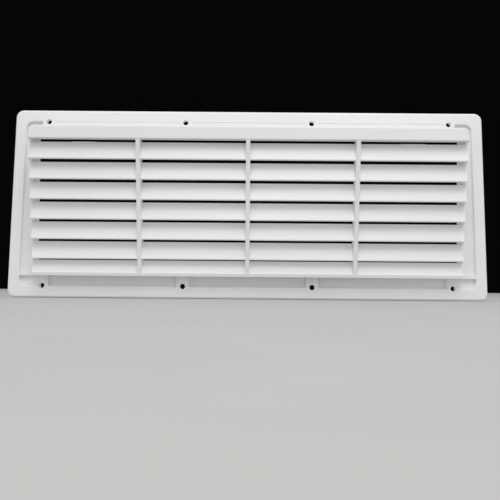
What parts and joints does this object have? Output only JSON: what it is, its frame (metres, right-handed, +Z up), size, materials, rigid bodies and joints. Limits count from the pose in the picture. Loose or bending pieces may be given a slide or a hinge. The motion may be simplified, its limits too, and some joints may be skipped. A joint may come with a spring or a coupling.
{
  "type": "fridge vent grille",
  "caption": "Wide white moulded wall vent: a leaning hood of fixed louvre slats and upright ribs on a raised flange with screw pads, to air the space behind a fridge.",
  "frame": {"origin": "middle of the flange, in the plane of its back, which lies against the wall", "axes": "+X along the grille, +Z up, +Y into the wall, so the louvres face -Y"},
  "size_m": [0.4, 0.0371, 0.16],
  "materials": {
    "white_plastic": "satin"
  },
  "bodies": {
    "root": {"vent_grille": "white_plastic"}
  },
  "joints": []
}
